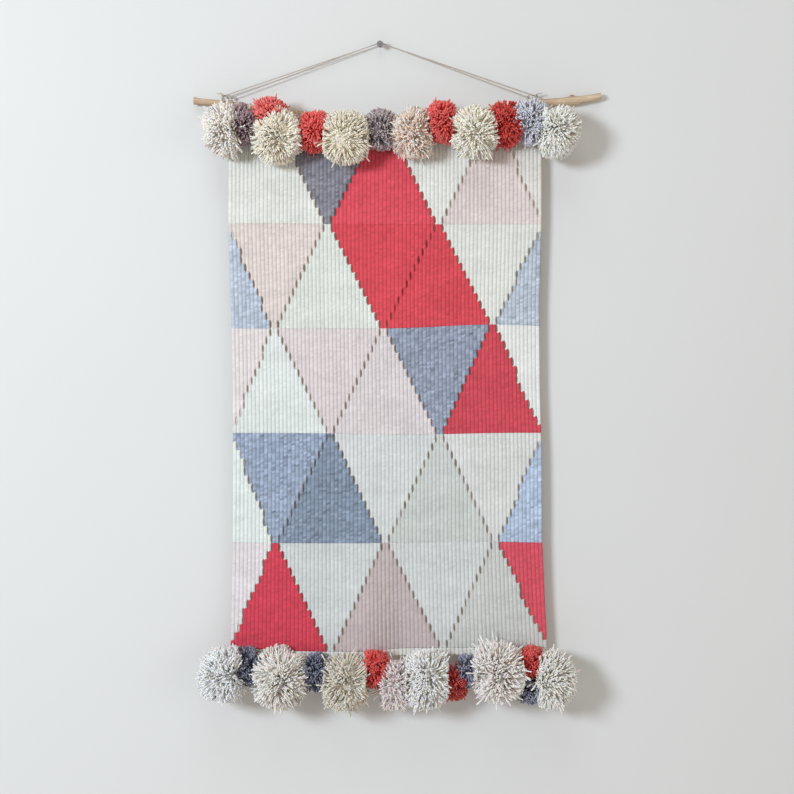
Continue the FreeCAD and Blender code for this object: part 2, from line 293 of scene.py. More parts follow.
def twine_material(slot_name, colour):
    """Plied twine with a few paler fibres."""
    mat, nodes, links, shader = material(slot_name, 0.85, sheen=0.15, specular=0.2)
    fibre = noise(nodes, links, 1400, detail=4, rough=0.7)
    links.new(times(nodes, links, tuple(colour),
                    ramp(nodes, links, fibre, [(0.3, 0.7), (0.7, 1.15)])),
              shader.inputs["Base Color"])
    bump(nodes, links, shader, fibre, 0.5, 0.15 * MM)
    return mat


def wood_material(slot_name, colour):
    """A bare branch: long grain, pinkish brown patches, dark checks."""
    mat, nodes, links, shader = material(slot_name, 0.7, specular=0.25)
    grain = noise(nodes, links, 700, (0.06, 1, 1), detail=6, rough=0.65)
    patch = noise(nodes, links, 38, (0.5, 1, 1), detail=3)
    check = noise(nodes, links, 320, (0.05, 1, 1), detail=2)
    shade = ramp(nodes, links, patch, [
        (0.35, tuple(colour)), (0.55, (0.58, 0.44, 0.30)), (0.72, (0.48, 0.33, 0.24))])
    shade = times(nodes, links, shade, ramp(nodes, links, grain, [(0.3, 0.72), (0.65, 1.12)]))
    shade = times(nodes, links, shade, ramp(nodes, links, check, [(0.30, 0.35), (0.38, 1.0)]))
    shade = times(nodes, links, shade, attribute(nodes, "Tint"))
    links.new(shade, shader.inputs["Base Color"])
    bump(nodes, links, shader, grain, 0.6, 0.3 * MM)
    return mat


def steel_material(slot_name, colour):
    """Dull plated wire, scuffed."""
    mat, nodes, links, shader = material(slot_name, 0.4, specular=0.5, metallic=1.0)
    scuff = noise(nodes, links, 1500, (1, 1, 0.3), detail=5)
    links.new(times(nodes, links, tuple(colour),
                    ramp(nodes, links, scuff, [(0.35, 0.6), (0.7, 1.2)])),
              shader.inputs["Base Color"])
    links.new(ramp(nodes, links, scuff, [(0.3, 0.28), (0.7, 0.55)]), shader.inputs["Roughness"])
    bump(nodes, links, shader, scuff, 0.3, 0.1 * MM)
    return mat


MATERIALS = {}
for slot_name, colour in BASE.items():
    if slot_name.startswith("yarn"):
        mottle = 0.3 if "grey" in slot_name else 0.16
        MATERIALS[slot_name] = weft_material(slot_name, colour, mottle)
    elif slot_name.startswith("pom"):
        MATERIALS[slot_name] = strand_material(slot_name)
    elif slot_name == "stick_wood":
        MATERIALS[slot_name] = wood_material(slot_name, colour)
    elif slot_name == "nail_steel":
        MATERIALS[slot_name] = steel_material(slot_name, colour)
    else:
        MATERIALS[slot_name] = twine_material(slot_name, colour)
NODE_SLOT = {s["node"]: s["material_slot"] for s in frame["record"]["subparts"]}
NODE_BODY = {n: b for b, nodes in frame["record"]["behaviour"]["bodies"].items() for n in nodes}


def finish_piece(obj, node, body=None):
    """Gives a piece its material and slot, lets it stand for a CAD node and rides it."""
    obj.data.materials.append(MATERIALS[NODE_SLOT[node]])
    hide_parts(node)
    if body:
        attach(obj, body)
    return obj


# ---------------------------------------------------------------- weave
WARPS = 79
LEVELS = 13
PICKS = 4                 # weft bumps up one level
CUTS = 2                  # mesh steps for each bump
LEFT_APEX, MID_APEX, RIGHT_APEX = 11, 39, 67
ROUND = np.array([-1, -0.76, -0.42, 0, 0.42, 0.76])   # places across one rib
WEAVE_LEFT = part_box("header_band")[0].x
WEAVE_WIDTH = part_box("header_band")[1].x - WEAVE_LEFT
PITCH = WEAVE_WIDTH / WARPS
MID_Y = (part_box("header_band")[0].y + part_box("header_band")[1].y) / 2
HALF_THICK = (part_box("header_band")[1].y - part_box("header_band")[0].y) / 2
FOLD_ACROSS = 0.004       # where the hem's one deep fold is
FOLD_HALF = 0.024         # and half its width
ROW_Z = [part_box("header_band")[0].z]
ROW_Z += [JOINTS["fold_above_row_%d" % r]["pos_m"][2] for r in (2, 3, 4, 5)]
ROW_Z += [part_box("hem_band")[1].z]
CORE = 0.5 * MM           # half thickness between two ribs
SLIT = 0.85 * MM          # half width of an open slit
SLIT_EDGE_PAINTED_SHADE = np.array([0.28, 0.42, 0.50])   # painted shade: how much darker and warmer a slit's edge is painted, like the shadowed gap behind it
LEAN = 0.55 * MM          # how far a pick slants across its rib
VALLEY_PAINTED_SHADE = 0.78             # painted shade: how much darker the yarn is painted in the valley between two ribs
ROWS = [
    (True, ["cream", "cream", "grey", "coral", "cream", "blush", "cream"]),
    (False, ["pale_grey", "blush", "cream", "coral", "coral", "cream", "pale_grey"]),
    (True, ["blush", "cream", "blush", "blush", "grey", "coral", "cream"]),
    (False, ["cream", "grey", "grey", "cream", "cream", "cream", "pale_grey"]),
    (True, ["blush", "coral", "cream", "blush", "cream", "cream", "coral"]),
]
# Fields woven into the next one, with no slit between them.
JOINED = {1: (0,)}
# How much one pick's shade differs from the next.
FLECK = {"cream": 0.03, "blush": 0.04, "coral": 0.06, "grey": 0.15, "pale_grey": 0.12}
# How each field's colour differs from its yarn's usual shade: partly its own dye, partly painted shade, darker in
# the lower rows and in the hem's fold.
FIELD_DYE_AND_PAINTED_SHADE = {
    (1, 0): (1.02, 1.03, 1.02), (1, 1): (0.98, 0.99, 0.98), (1, 2): (0.82, 0.72, 0.68),
    (1, 3): (1.05, 1.15, 1.2), (1, 4): (1.0, 1.01, 1.0), (1, 5): (0.97, 0.95, 0.93),
    (1, 6): (0.96, 0.93, 0.92), (2, 0): (0.98, 0.98, 0.98), (2, 1): (0.97, 0.95, 0.90),
    (2, 2): (0.93, 0.96, 0.94), (2, 3): (0.98, 1.0, 1.0), (2, 4): (0.98, 1.0, 1.0),
    (2, 5): (0.96, 0.97, 0.95), (2, 6): (0.98, 0.98, 0.96), (3, 0): (1.0, 1.02, 1.02),
    (3, 1): (0.95, 1.0, 1.01), (3, 2): (0.93, 0.93, 0.94), (3, 3): (0.93, 0.95, 0.97),
    (3, 4): (0.95, 0.95, 0.97), (3, 5): (0.90, 1.0, 1.05), (3, 6): (1.02, 1.03, 1.04),
    (4, 0): (0.96, 1.03, 1.04), (4, 1): (1.03, 1.08, 1.12), (4, 2): (0.76, 0.82, 0.85),
    (4, 3): (0.86, 0.89, 0.92), (4, 4): (0.78, 0.81, 0.82), (4, 5): (0.90, 0.91, 0.93),
    (4, 6): (0.93, 1.0, 1.08), (5, 0): (0.98, 1.02, 1.06), (5, 1): (0.92, 0.85, 1.0),
    (5, 2): (0.80, 0.83, 0.87), (5, 3): (0.72, 0.68, 0.69), (5, 4): (0.83, 0.86, 0.89),
    (5, 5): (0.78, 0.79, 0.80), (5, 6): (1.0, 1.25, 1.35),
}
# How far the two selvedges stray from straight: height, left edge, right edge.
SELVEDGE = np.array([
    (-0.083, -1.5, 0.0), (-0.195, -2.2, 0.3), (-0.29, 1.0, -2.4), (-0.38, 2.6, -1.6),
    (-0.45, 3.2, 0.2), (-0.55, 2.4, 0.8), (-0.61, 1.6, 3.4), (-0.68, 0.2, 7.0)]) * (1, MM, MM)
# Places where the rows ride up or sag: across, height, rise, reach.
RIPPLES = [(0.126, -0.312, 4.5 * MM, 0.075), (-0.055, -0.664, -4.0 * MM, 0.075),
           (0.03, -0.430, -2.0 * MM, 0.08), (-0.12, -0.205, 1.5 * MM, 0.06),
           (0.09, -0.552, 2.0 * MM, 0.07)]


def hang(points):
    """Moves flat weave to how it hangs: uneven selvedges, rippled rows, slow waves in depth."""
    x, y, z = points[..., 0].copy(), points[..., 1].copy(), points[..., 2].copy()
    order = np.argsort(SELVEDGE[:, 0])
    across = (x - WEAVE_LEFT) / WEAVE_WIDTH
    left = np.interp(z, SELVEDGE[order, 0], SELVEDGE[order, 1])
    right = np.interp(z, SELVEDGE[order, 0], SELVEDGE[order, 2])
    lower = np.clip((-0.12 - z) / 0.5, 0, 1)
    for at_x, at_z, rise, reach in RIPPLES:
        z = z + rise * np.exp(-((x - at_x) ** 2 + (points[..., 2] - at_z) ** 2) / reach ** 2)
    x = x + left * (1 - across) + right * across
    wave = (np.sin(x * 26 + z * 9 + 0.6) * 0.8 + np.sin(x * 11 - z * 14 + 2.0) * 1.0
            + np.sin(z * 31 + x * 5) * 0.4)
    low_fold = np.clip((-0.53 - z) / 0.09, 0, 1) * np.exp(-((x - FOLD_ACROSS) / 0.034) ** 2)
    wave = wave + 9.0 * low_fold * np.sin((x - FOLD_ACROSS) / FOLD_HALF)
    y = y + wave * MM * lower
    return np.stack([x, y, z], -1)


def field_edges(step):
    """Warps at which the seven fields of a row meet, step levels from the odd fields' points."""
    wide = step + 1
    left = round(LEFT_APEX - LEFT_APEX * wide / LEVELS)
    right = round(RIGHT_APEX + (WARPS - RIGHT_APEX) * wide / LEVELS)
    return [0, left, LEFT_APEX + wide, MID_APEX - wide, MID_APEX + wide,
            RIGHT_APEX - wide, right, WARPS]


def fields_of_row(row):
    """For each level of a row, the field that each warp belongs to."""
    grid = np.zeros((WARPS, LEVELS), int)
    for level in range(LEVELS):
        edges = field_edges(level if ROWS[row][0] else LEVELS - 1 - level)
        for field in range(7):
            grid[edges[field]:edges[field + 1], level] = field
    return grid


def woven(mask, top, bottom, levels, tint, fleck, rng):
    """Points, quads and tints of one field: ribs of stacked picks, parted at its slits."""
    per = PICKS * CUTS
    steps = levels * per
    cells = np.repeat(np.repeat(mask, len(ROUND), 0), per, 1)
    used = np.zeros((cells.shape[0] + 1, steps + 1), bool)
    for di in (0, 1):
        for dj in (0, 1):
            used[di:di + cells.shape[0], dj:dj + steps] |= cells
    number = np.full(used.shape, -1)
    number[used] = np.arange(used.sum())
    gi, gj = np.nonzero(used)
    rib = np.minimum(gi // len(ROUND), WARPS - 1)
    u = np.where(gi == WARPS * len(ROUND), 1.0, ROUND[gi % len(ROUND)])

    # how open the slit is at each side of each rib, at each height
    beside = np.zeros((WARPS + 1, levels), bool)
    beside[1:WARPS] = mask[1:] != mask[:-1]
    width = SLIT * rng.uniform(0.15, 1.35, (WARPS + 1, levels))
    t = np.arange(steps + 1) / per
    lens = np.sin(math.pi * (t % 1)) ** 0.55
    level = np.minimum(t.astype(int), levels - 1)
    beside_wide = beside[:, level]
    gap = np.where(beside_wide, width[:, level] * lens, 0)
    outer = np.zeros((WARPS + 1, steps + 1))
    outer[0] = outer[WARPS] = 1
    edge = np.where(beside_wide, lens, 0) + outer

    row_in = mask[rib, np.minimum(gj // per, levels - 1)] | mask[rib, np.maximum(gj - 1, 0) // per]
    rib = np.where(row_in, rib, np.maximum(rib - 1, 0))
    u = np.where(row_in, u, 1.0)
    near_left, near_right = ((1 - u) / 2) ** 2, ((1 + u) / 2) ** 2
    x = WEAVE_LEFT + PITCH * (rib + 0.5 + 0.5 * u)
    x = x + gap[rib, gj] * near_left - gap[rib + 1, gj] * near_right
    tall = (top - bottom) / steps
    z = top - gj * tall + LEAN * np.sin(math.pi * u)
    z = np.where((gj == 0) | (gj == steps), top - gj * tall, z)

    bulge = np.sqrt(np.maximum(1 - (0.985 * u) ** 2, 0))
    pick = ((gj + rib) % CUTS) / (CUTS - 1)
    loose = rng.uniform(0.93, 1.0, (WARPS, steps // CUTS + 1))[rib, gj // CUTS]
    height = CORE + (HALF_THICK - CORE) * bulge * (0.70 + 0.30 * pick) * loose
    shut = np.where(u < 0, edge[rib, gj] * (u < -0.9), edge[rib + 1, gj] * (u > 0.9))
    height = height * (1 - 0.7 * np.clip(shut, 0, 1))

    front = hang(np.stack([x, MID_Y - height, z], -1))
    back = hang(np.stack([x, MID_Y + height, z], -1))
    count = len(front)
    i, j = np.nonzero(cells)
    a, b, c, d = number[i, j], number[i, j + 1], number[i + 1, j + 1], number[i + 1, j]
    quads = np.concatenate([np.stack([a, b, c, d], 1), np.stack([d, c, b, a], 1) + count])
    rims = []
    padded = np.pad(cells, 1)
    for p, q, neighbour in (
        (number[:-1, :-1], number[:-1, 1:], padded[:-2, 1:-1]),
        (number[1:, 1:], number[1:, :-1], padded[2:, 1:-1]),
        (number[1:, :-1], number[:-1, :-1], padded[1:-1, :-2]),
        (number[:-1, 1:], number[1:, 1:], padded[1:-1, 2:]),
    ):
        rim = cells & ~neighbour
        p, q = p[rim], q[rim]
        rims.append(np.stack([q, p, p + count, q + count], 1))
    quads = np.concatenate([quads] + rims)
    shade = rng.normal(1, fleck, (WARPS, steps // CUTS + 1))[rib, gj // CUTS]
    # Painted shade: the low step of each pick is painted darker than its crest.
    shade = shade * (0.95 + 0.07 * pick)
    shade = shade * rng.normal(1, 0.012, WARPS)[rib]
    # Painted shade: the yarn darkens towards the valley between two ribs.
    shade = shade * (VALLEY_PAINTED_SHADE + (1 - VALLEY_PAINTED_SHADE) * np.clip(bulge * 1.3, 0, 1))
    colour = shade[:, None] * np.array(tint)[None]
    # Painted shade along the edges of an open slit, darker and warmer like the shadowed gap.
    parted = np.where(u < 0, edge[rib, gj] * beside_wide[rib, gj] * (u < -0.7),
                      edge[rib + 1, gj] * beside_wide[rib + 1, gj] * (u > 0.7))
    colour = colour * (1 - parted[:, None] * SLIT_EDGE_PAINTED_SHADE)
    return np.concatenate([front, back]), quads, np.concatenate([colour, colour])


def woven_piece(name, node, parts):
    """One woven object from the fields of one yarn in one row."""
    points, quads = joined([(p, q) for p, q, _ in parts])
    tints = np.concatenate([tint for _, _, tint in parts])
    obj = mesh_object(name, points, quads, colours={"Tint": tints})
    return finish_piece(obj, node)


def weave():
    """Every row of the panel, with its header and hem."""
    rng = np.random.default_rng(SEED)
    strip = np.ones((WARPS, 1), bool)
    bands = {}
    for node, body in (("header_band", "row_1"), ("hem_band", "row_5")):
        low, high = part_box(node)
        obj = woven_piece("woven_" + node, node,
                          [woven(strip, high.z, low.z, 1, (1.0, 0.98, 0.96), 0.03, rng)])
        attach(obj, body)
        bands[body] = obj
    for row, (_, yarns) in enumerate(ROWS, start=1):
        grid = fields_of_row(row - 1)
        for field in JOINED.get(row, ()):
            grid[grid == field] = field + 1
        top, bottom = ROW_Z[row - 1], ROW_Z[row]
        for yarn in dict.fromkeys(yarns):
            parts, widths, cells = [], 0, 0
            for field in [f for f, y in enumerate(yarns) if y == yarn]:
                mask = grid == field
                if not mask.any():
                    continue
                # Each field's tint: its dye, with painted shade in the lower rows.
                tint = FIELD_DYE_AND_PAINTED_SHADE.get((row, field), (1, 1, 1))
                parts.append(woven(mask, top, bottom, LEVELS, tint, FLECK[yarn], rng))
                widths += mask.sum(0).max()
                cells += mask.sum()
            node = "row_%d_%s" % (row, yarn)
            obj = woven_piece("woven_" + node, node, parts)
            body = "row_%d" % row
            if row == 1:
                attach(obj, body)
            else:
                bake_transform(obj)
            beside = [bands.pop(body)] if body in bands else []


def warps():
    """The cotton warps inside the ribs, one object for each row."""
    thick = 0.6 * MM
    for row in range(1, 6):
        node = "row_%d_warps" % row
        low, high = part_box(node)
        z = np.linspace(high.z, low.z, 15)
        x = WEAVE_LEFT + PITCH * (np.arange(WARPS) + 0.5)
        paths = np.zeros((WARPS, len(z), 3))
        paths[..., 0], paths[..., 1], paths[..., 2] = x[:, None], MID_Y, z[None]
        paths = hang(paths)
        guide = np.tile((0.0, 1.0, 0.0), (WARPS, 1))
        points = short_tubes(paths, np.full(paths.shape[:2], thick), 6, guide)
        obj = mesh_object("warps_row_%d" % row, points, tube_quads(WARPS, len(z), 6))
        finish_piece(obj, node)
        if row == 1:
            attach(obj, "row_1")
        else:
            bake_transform(obj)


# ---------------------------------------------------------------- pom-poms
PALETTE = {
    "cream": [(0.93, 0.90, 0.82), (0.95, 0.93, 0.87), (0.91, 0.86, 0.75)],
    "blush": [(0.92, 0.81, 0.76), (0.94, 0.86, 0.82), (0.90, 0.77, 0.72)],
    "red": [(0.72, 0.045, 0.045), (0.80, 0.07, 0.07), (0.64, 0.035, 0.04)],
    "grey": [(0.32, 0.30, 0.35), (0.40, 0.38, 0.43), (0.25, 0.23, 0.27)],
    "dark_grey": [(0.13, 0.14, 0.21), (0.18, 0.20, 0.29), (0.10, 0.10, 0.15)],
}
TIPS = {"cream": (0.97, 0.96, 0.93), "blush": (0.97, 0.91, 0.88), "red": (0.90, 0.16, 0.15),
        "grey": (0.70, 0.70, 0.77), "dark_grey": (0.42, 0.46, 0.60)}
CORE_SIZE = 0.67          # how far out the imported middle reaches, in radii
# Painted shade: how dark the middle ball is painted, as a share of its yarn's colour.
CORE_PAINTED_SHADE = {"cream": 0.82, "blush": 0.78, "red": 0.65, "grey": 0.5, "dark_grey": 0.3}
STRANDS = 2200            # strands in a ball 31 mm in radius
STRAND_SIDES = 4
DENSITY = {"red": 1.5, "grey": 1.15, "dark_grey": 1.15}
TUFT = 14                 # strands that lean together into one tuft
TUFT_PULL = 0.55          # how far they lean, as a share of the way to the tuft's middle
FLAT_BACK = 0.55          # how far a ball's centre stands off its flat back, in radii


class Pom:
    """Where a pom-pom sits, read from its CAD solid."""

    def __init__(self, node, side=0, rise=0, **ways):
        low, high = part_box(node)
        self.node, self.yarn = node, node.split("_", 3)[3]
        self.radius = (high.y - low.y) / (1 + FLAT_BACK)
        self.back = high.y
        self.limits = (np.array(low), np.array(high))
        x = {0: (low.x + high.x) / 2, -1: low.x + self.radius, 1: high.x - self.radius}[side]
        z = {0: (low.z + high.z) / 2, -1: low.z + self.radius, 1: high.z - self.radius}[rise]
        lift = ways.get("lift", 0.0)
        self.centre = np.array([x, high.y - FLAT_BACK * self.radius, z + lift])
        self.limits[1][2] += 2 * lift
        self.ways = ways


WARM = (1.04, 0.97, 0.86)
BRIGHT = (1.15, 1.3, 1.3)
DEEP = (0.7, 0.7, 0.72)
POMS = [
    Pom("pom_top_01_cream", -1, mix=("blush", 0.4), dye=(1.04, 0.99, 0.95)),
    Pom("pom_top_02_grey", dye=(0.75, 0.55, 0.56)),
    Pom("pom_top_03_red", rise=1, dye=(1.2, 2.0, 2.0)),
    Pom("pom_top_04_cream", rise=-1, dye=WARM, loose=1.2, lift=2 * MM),
    Pom("pom_top_05_red", dye=BRIGHT),
    Pom("pom_top_06_cream", dye=(0.97, 0.90, 0.78), lift=3 * MM),
    Pom("pom_top_07_grey", dye=(0.9, 0.78, 0.72), eye=(0.0, -1.0, 0.05)),
    Pom("pom_top_08_blush", dye=(1.0, 0.86, 0.76), mix=("cream", 0.3), loose=1.3),
    Pom("pom_top_09_red", dye=BRIGHT),
    Pom("pom_top_10_cream", dye=(1.1, 1.03, 0.93), loose=1.2),
    Pom("pom_top_11_red", dye=(0.85, 0.65, 0.6)),
    Pom("pom_top_12_grey", dye=(1.3, 1.35, 1.35)),
    Pom("pom_top_13_cream", 1, dye=(1.1, 1.08, 1.05)),
    Pom("pom_hem_01_cream", -1, dye=(0.97, 1.0, 1.06), loose=1.3),
    Pom("pom_hem_02_dark_grey", dye=DEEP),
    Pom("pom_hem_03_cream", mix=("blush", 0.3), dye=(0.88, 0.88, 0.86), loose=1.4),
    Pom("pom_hem_04_dark_grey", dye=DEEP),
    Pom("pom_hem_05_cream", dye=(0.8, 0.76, 0.70), loose=1.3),
    Pom("pom_hem_06_red"),
    Pom("pom_hem_07_blush", dye=(0.85, 0.8, 0.85), loose=1.8, mix=("cream", 0.3)),
    Pom("pom_hem_08_cream", loose=1.3, dye=(0.99, 1.0, 1.04)),
    Pom("pom_hem_09_red", dye=(0.7, 0.7, 0.7)),
    Pom("pom_hem_10_dark_grey"),
    Pom("pom_hem_11_blush", loose=2.2, mix=("cream", 0.35)),
    Pom("pom_hem_12_red", rise=1),
    Pom("pom_hem_13_dark_grey", rise=-1),
    Pom("pom_hem_14_cream", 1, loose=1.3),
]


def sphere_directions(count, rng):
    """Evenly spread directions, a little jittered."""
    k = np.arange(count) + 0.5
    polar = np.arccos(1 - 2 * k / count)
    turn = math.pi * (1 + 5 ** 0.5) * k
    even = np.stack([np.cos(turn) * np.sin(polar), np.cos(polar), np.sin(turn) * np.sin(polar)], 1)
    return unit(even + rng.normal(0, 1.1 / math.sqrt(count), even.shape))


def pressed(values, low, high, slack):
    """Coordinates eased back to between two limits, keeping a share of what lies beyond."""
    over = np.maximum(values - high, 0)
    under = np.maximum(low - values, 0)
    return values - over * (1 - slack) + under * (1 - slack)


def pom_core(pom, rng):
    """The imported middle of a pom-pom: a lumpy ball that closes the gaps between strands."""
    rings, sides = 30, 48
    tilt = np.linspace(0.02, math.pi - 0.02, rings)[:, None]
    turn = (np.arange(sides) * (2 * math.pi / sides))[None]
    ball = np.stack([np.sin(tilt) * np.cos(turn), np.sin(tilt) * np.sin(turn),
                     np.broadcast_to(np.cos(tilt), (rings, sides))], -1)
    lumps = 1 + rng.normal(0, 0.025, (rings, sides, 1))
    size = CORE_SIZE / (0.8 + 0.2 * pom.ways.get("loose", 1.0))
    points = (ball * pom.radius * size * lumps).reshape(-1, 3) + pom.centre
    low, high = pom.limits
    for axis in (0, 2):
        points[:, axis] = pressed(points[:, axis], low[axis] + 2 * MM, high[axis] - 2 * MM, 0.0)
    points[:, 1] = pressed(points[:, 1], -1, pom.back - 2 * MM, 0.0)
    return points, tube_quads(1, rings, sides)[:, ::-1]


def pom_pom(pom, rng):
    """Hundreds of curved strands of cut yarn round one centre, pressed by its neighbours."""
    radius, loose = pom.radius, pom.ways.get("loose", 1.0)
    dense = DENSITY.get(pom.yarn, 1.0)
    count = int(STRANDS * (radius / (31 * MM)) ** 2 * dense)
    aim = sphere_directions(count, rng)
    eye = pom.ways.get("eye")
    if eye is not None:
        eye = np.array(eye) / np.linalg.norm(eye)
        near = np.exp(-((1 - aim @ eye) / 0.10))
        aim = unit(aim - eye * near[:, None] * 0.55)
    t = np.linspace(0.3, 1, 5)
    reach = radius * rng.normal(0.955, 0.035 * loose, count)
    stray = rng.random(count) < 0.03 * loose
    reach = np.where(stray, reach * rng.uniform(1.02, 1.03 + 0.09 * loose, count), reach)
    waves = rng.normal(0, 2.6, (3, 3))
    locks = np.sin(aim @ waves * 1.6 + rng.uniform(0, 6, 3))
    bend = locks * 0.19 * loose ** 0.5 + rng.normal(0, 0.085 * (0.5 + 0.5 * loose), (count, 3))
    tufts = sphere_directions(max(count // TUFT, 12), rng)
    bend = bend + (tufts[np.argmax(aim @ tufts.T, axis=1)] - aim) * TUFT_PULL
    wiggle = rng.normal(0, 0.02, (count, 3)) * radius
    paths = aim[:, None] * (t[None, :, None] * reach[:, None, None])
    paths = paths + bend[:, None] * radius * (t ** 2)[None, :, None]
    paths = paths + wiggle[:, None] * np.sin(t * 9)[None, :, None]
    paths[..., 2] -= 0.06 * (loose - 0.6) * radius * (t ** 2)[None]
    far = np.linalg.norm(paths, axis=2, keepdims=True)
    keep = np.where(stray, 0.8, 0.25)[:, None, None]
    paths = paths * np.minimum(1, (radius + (far - radius) * keep) / np.maximum(far, 1e-9))
    paths = paths + pom.centre
    low, high = pom.limits
    least, most = (0.0, 0.5) if pom.yarn in ("cream", "blush") else (0.3, 0.85)
    slack = np.where(stray, 0.8, rng.uniform(least, most, count))[:, None]
    paths[..., 0] = pressed(paths[..., 0], low[0], high[0], slack)
    paths[..., 2] = pressed(paths[..., 2], low[2], high[2], slack)
    paths[..., 1] = pressed(paths[..., 1], -1, pom.back - 1.0 * MM, 0.03)
    guide = unit(np.cross(aim, rng.normal(0, 1, (count, 3))))
    thick = (0.75 if pom.yarn == "red" else 0.85) * MM * rng.normal(1, 0.1, count)
    shape = np.array([0.7, 1.0, 1.0, 1.05, 0.85])
    points = short_tubes(paths, thick[:, None] * shape[None], STRAND_SIDES, guide)
    dye = np.array(pom.ways.get("dye", (1, 1, 1)))
    palette = np.array(PALETTE[pom.yarn]) * dye
    pick = np.clip(np.round(1 + locks[:, 0] + rng.normal(0, 0.5, count)), 0, 2).astype(int)
    colour = palette[pick] * rng.normal(1, 0.05, (count, 1))
    tip = np.tile(TIPS[pom.yarn], (count, 1)) * dye
    if "mix" in pom.ways:
        other_yarn, share = pom.ways["mix"]
        swap = rng.random(count) < share
        colour[swap] = np.array(PALETTE[other_yarn])[pick[swap]]
        tip[swap] = TIPS[other_yarn]
    fade = np.clip((t - 0.6) / 0.4, 0, 1) ** 2 * 0.6
    # Painted shade: each strand is painted darker towards the middle of the ball.
    inner_painted_shade = 0.8 + 0.2 * np.clip((t - 0.3) / 0.5, 0, 1)
    shade = colour[:, None] * inner_painted_shade[None, :, None]
    shade = shade + (tip[:, None] - shade) * fade[None, :, None]
    shade = np.repeat(shade[:, :, None], STRAND_SIDES, axis=2).reshape(-1, 3)
    core, core_quads = pom_core(pom, rng)
    dim = CORE_PAINTED_SHADE[pom.yarn]
    # The middle ball is painted its yarn's colour darkened, as shade inside the ball.
    shade = np.concatenate([shade, np.tile(palette[1] * dim, (len(core), 1))])
    points, quads = joined([(points.reshape(-1, 3), tube_quads(count, len(t), STRAND_SIDES)),
                            (core, core_quads)])
    obj = mesh_object("yarn_" + pom.node, points, quads, colours={"Strand": np.clip(shade, 0, 1)})
    return finish_piece(obj, pom.node, NODE_BODY[pom.node])


def pom_poms():
    """All the pom-poms."""
    for number, pom in enumerate(POMS):
        pom_pom(pom, np.random.default_rng(SEED + 100 + number))


# ---------------------------------------------------------------- stick, cords, nail
def stick_drop(across):
    """How far below the nail the sagging stick's middle line runs, in millimetres."""
    return 82.5 - 17.5 * ((across + 1.0) / 175.0) ** 2


STICK_LINE = (
    [(-206.0, 62.0, 4.2), (-197.0, 62.9, 3.5), (-184.0, 64.4, 3.8)]
    + [(x, stick_drop(x), r) for x, r in (
        (-170.0, 4.3), (-140.0, 4.5), (-110.0, 4.7), (-75.0, 4.8), (-40.0, 4.9), (0.0, 4.9),
        (40.0, 4.9), (75.0, 4.9), (110.0, 4.8), (140.0, 4.7), (170.0, 4.4))]
    + [(184.0, 64.5, 4.5), (198.0, 63.7, 4.8), (212.0, 62.3, 5.0), (228.0, 60.0, 4.2),
       (244.0, 57.0, 3.7)])
STICK_Y = (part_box("stick")[0].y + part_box("stick")[1].y) / 2
KNOT_ABOVE = 8.7          # from the stick's middle line up to a knot, in millimetres


def stick():
    """A bent branch with bark ridges, a nub and sawn ends."""
    rng = np.random.default_rng(SEED + 1)
    line = smooth_path([(x, -drop, r) for x, drop, r in STICK_LINE], 26) * MM
    sides = 28
    turn = np.arange(sides) * (2 * math.pi / sides)
    x, z, r = line[:, 0:1], line[:, 1:2], line[:, 2:3]
    ridge = sum(a * np.sin(k * turn[None] + x * f + p) for a, k, f, p in [
        (0.035, 3, 30, 0.3), (0.025, 5, -45, 1.9), (0.018, 8, 60, 4.0), (0.012, 13, -90, 2.2)])
    ridge = ridge + rng.normal(0, 0.006, ridge.shape)
    nub = 0.42 * np.exp(-((x - 0.212) / 0.0035) ** 2) * np.exp(-((turn[None] - 1.45) / 0.5) ** 2)
    scar = -0.10 * np.exp(-((x + 0.199) / 0.003) ** 2) * np.exp(-((turn[None] - 3.6) / 0.6) ** 2)
    radius = r * (0.97 + ridge + nub + scar)
    points = np.stack([np.broadcast_to(x, radius.shape), STICK_Y - radius * np.cos(turn),
                       z + radius * np.sin(turn)], -1)
    shade = np.ones(points.shape)
    dark = np.exp(-((x - 0.212) / 0.004) ** 2) * np.exp(-((turn[None] - 1.45) / 0.55) ** 2)
    shade = shade * (1 - 0.7 * dark)[..., None]
    caps = {0: [], -1: []}
    for end, step in ((0, -1), (-1, 1)):
        rim = points[end]
        middle = rim.mean(0)
        for share, out in ((0.88, 0.35), (0.5, 0.45), (0.12, 0.4)):
            ring = middle + (rim - middle) * share
            caps[end].append(ring + np.array([step * out * MM, 0, 0]))
    points = np.concatenate([np.array(caps[0][::-1]), points, np.array(caps[-1])])
    pale = np.full((3, sides, 3), 1.12)
    pale[1] *= 0.9
    shade = np.concatenate([pale, shade, pale])
    obj = mesh_object("branch", points, tube_quads(1, len(points), sides)[:, ::-1],
                      colours={"Tint": shade})
    finish_piece(obj, "stick", "row_1")


def route(name, points):
    """The line of a NURBS spline with these control points, in metres."""
    curve = bpy.data.curves.new(name, "CURVE")
    curve.dimensions = "3D"
    spline = curve.splines.new("NURBS")
    spline.points.add(len(points) - 1)
    for point, place in zip(spline.points, points):
        point.co = (*[v * MM for v in place], 1)
    spline.order_u = 3
    spline.use_endpoint_u = True
    curve.resolution_u = 24
    obj = bpy.data.objects.new(name, curve)
    mesh = bpy.data.meshes.new_from_object(obj)
    line = np.array([v.co for v in mesh.vertices])
    bpy.data.objects.remove(obj)
    bpy.data.curves.remove(curve)
    bpy.data.meshes.remove(mesh)
    return line


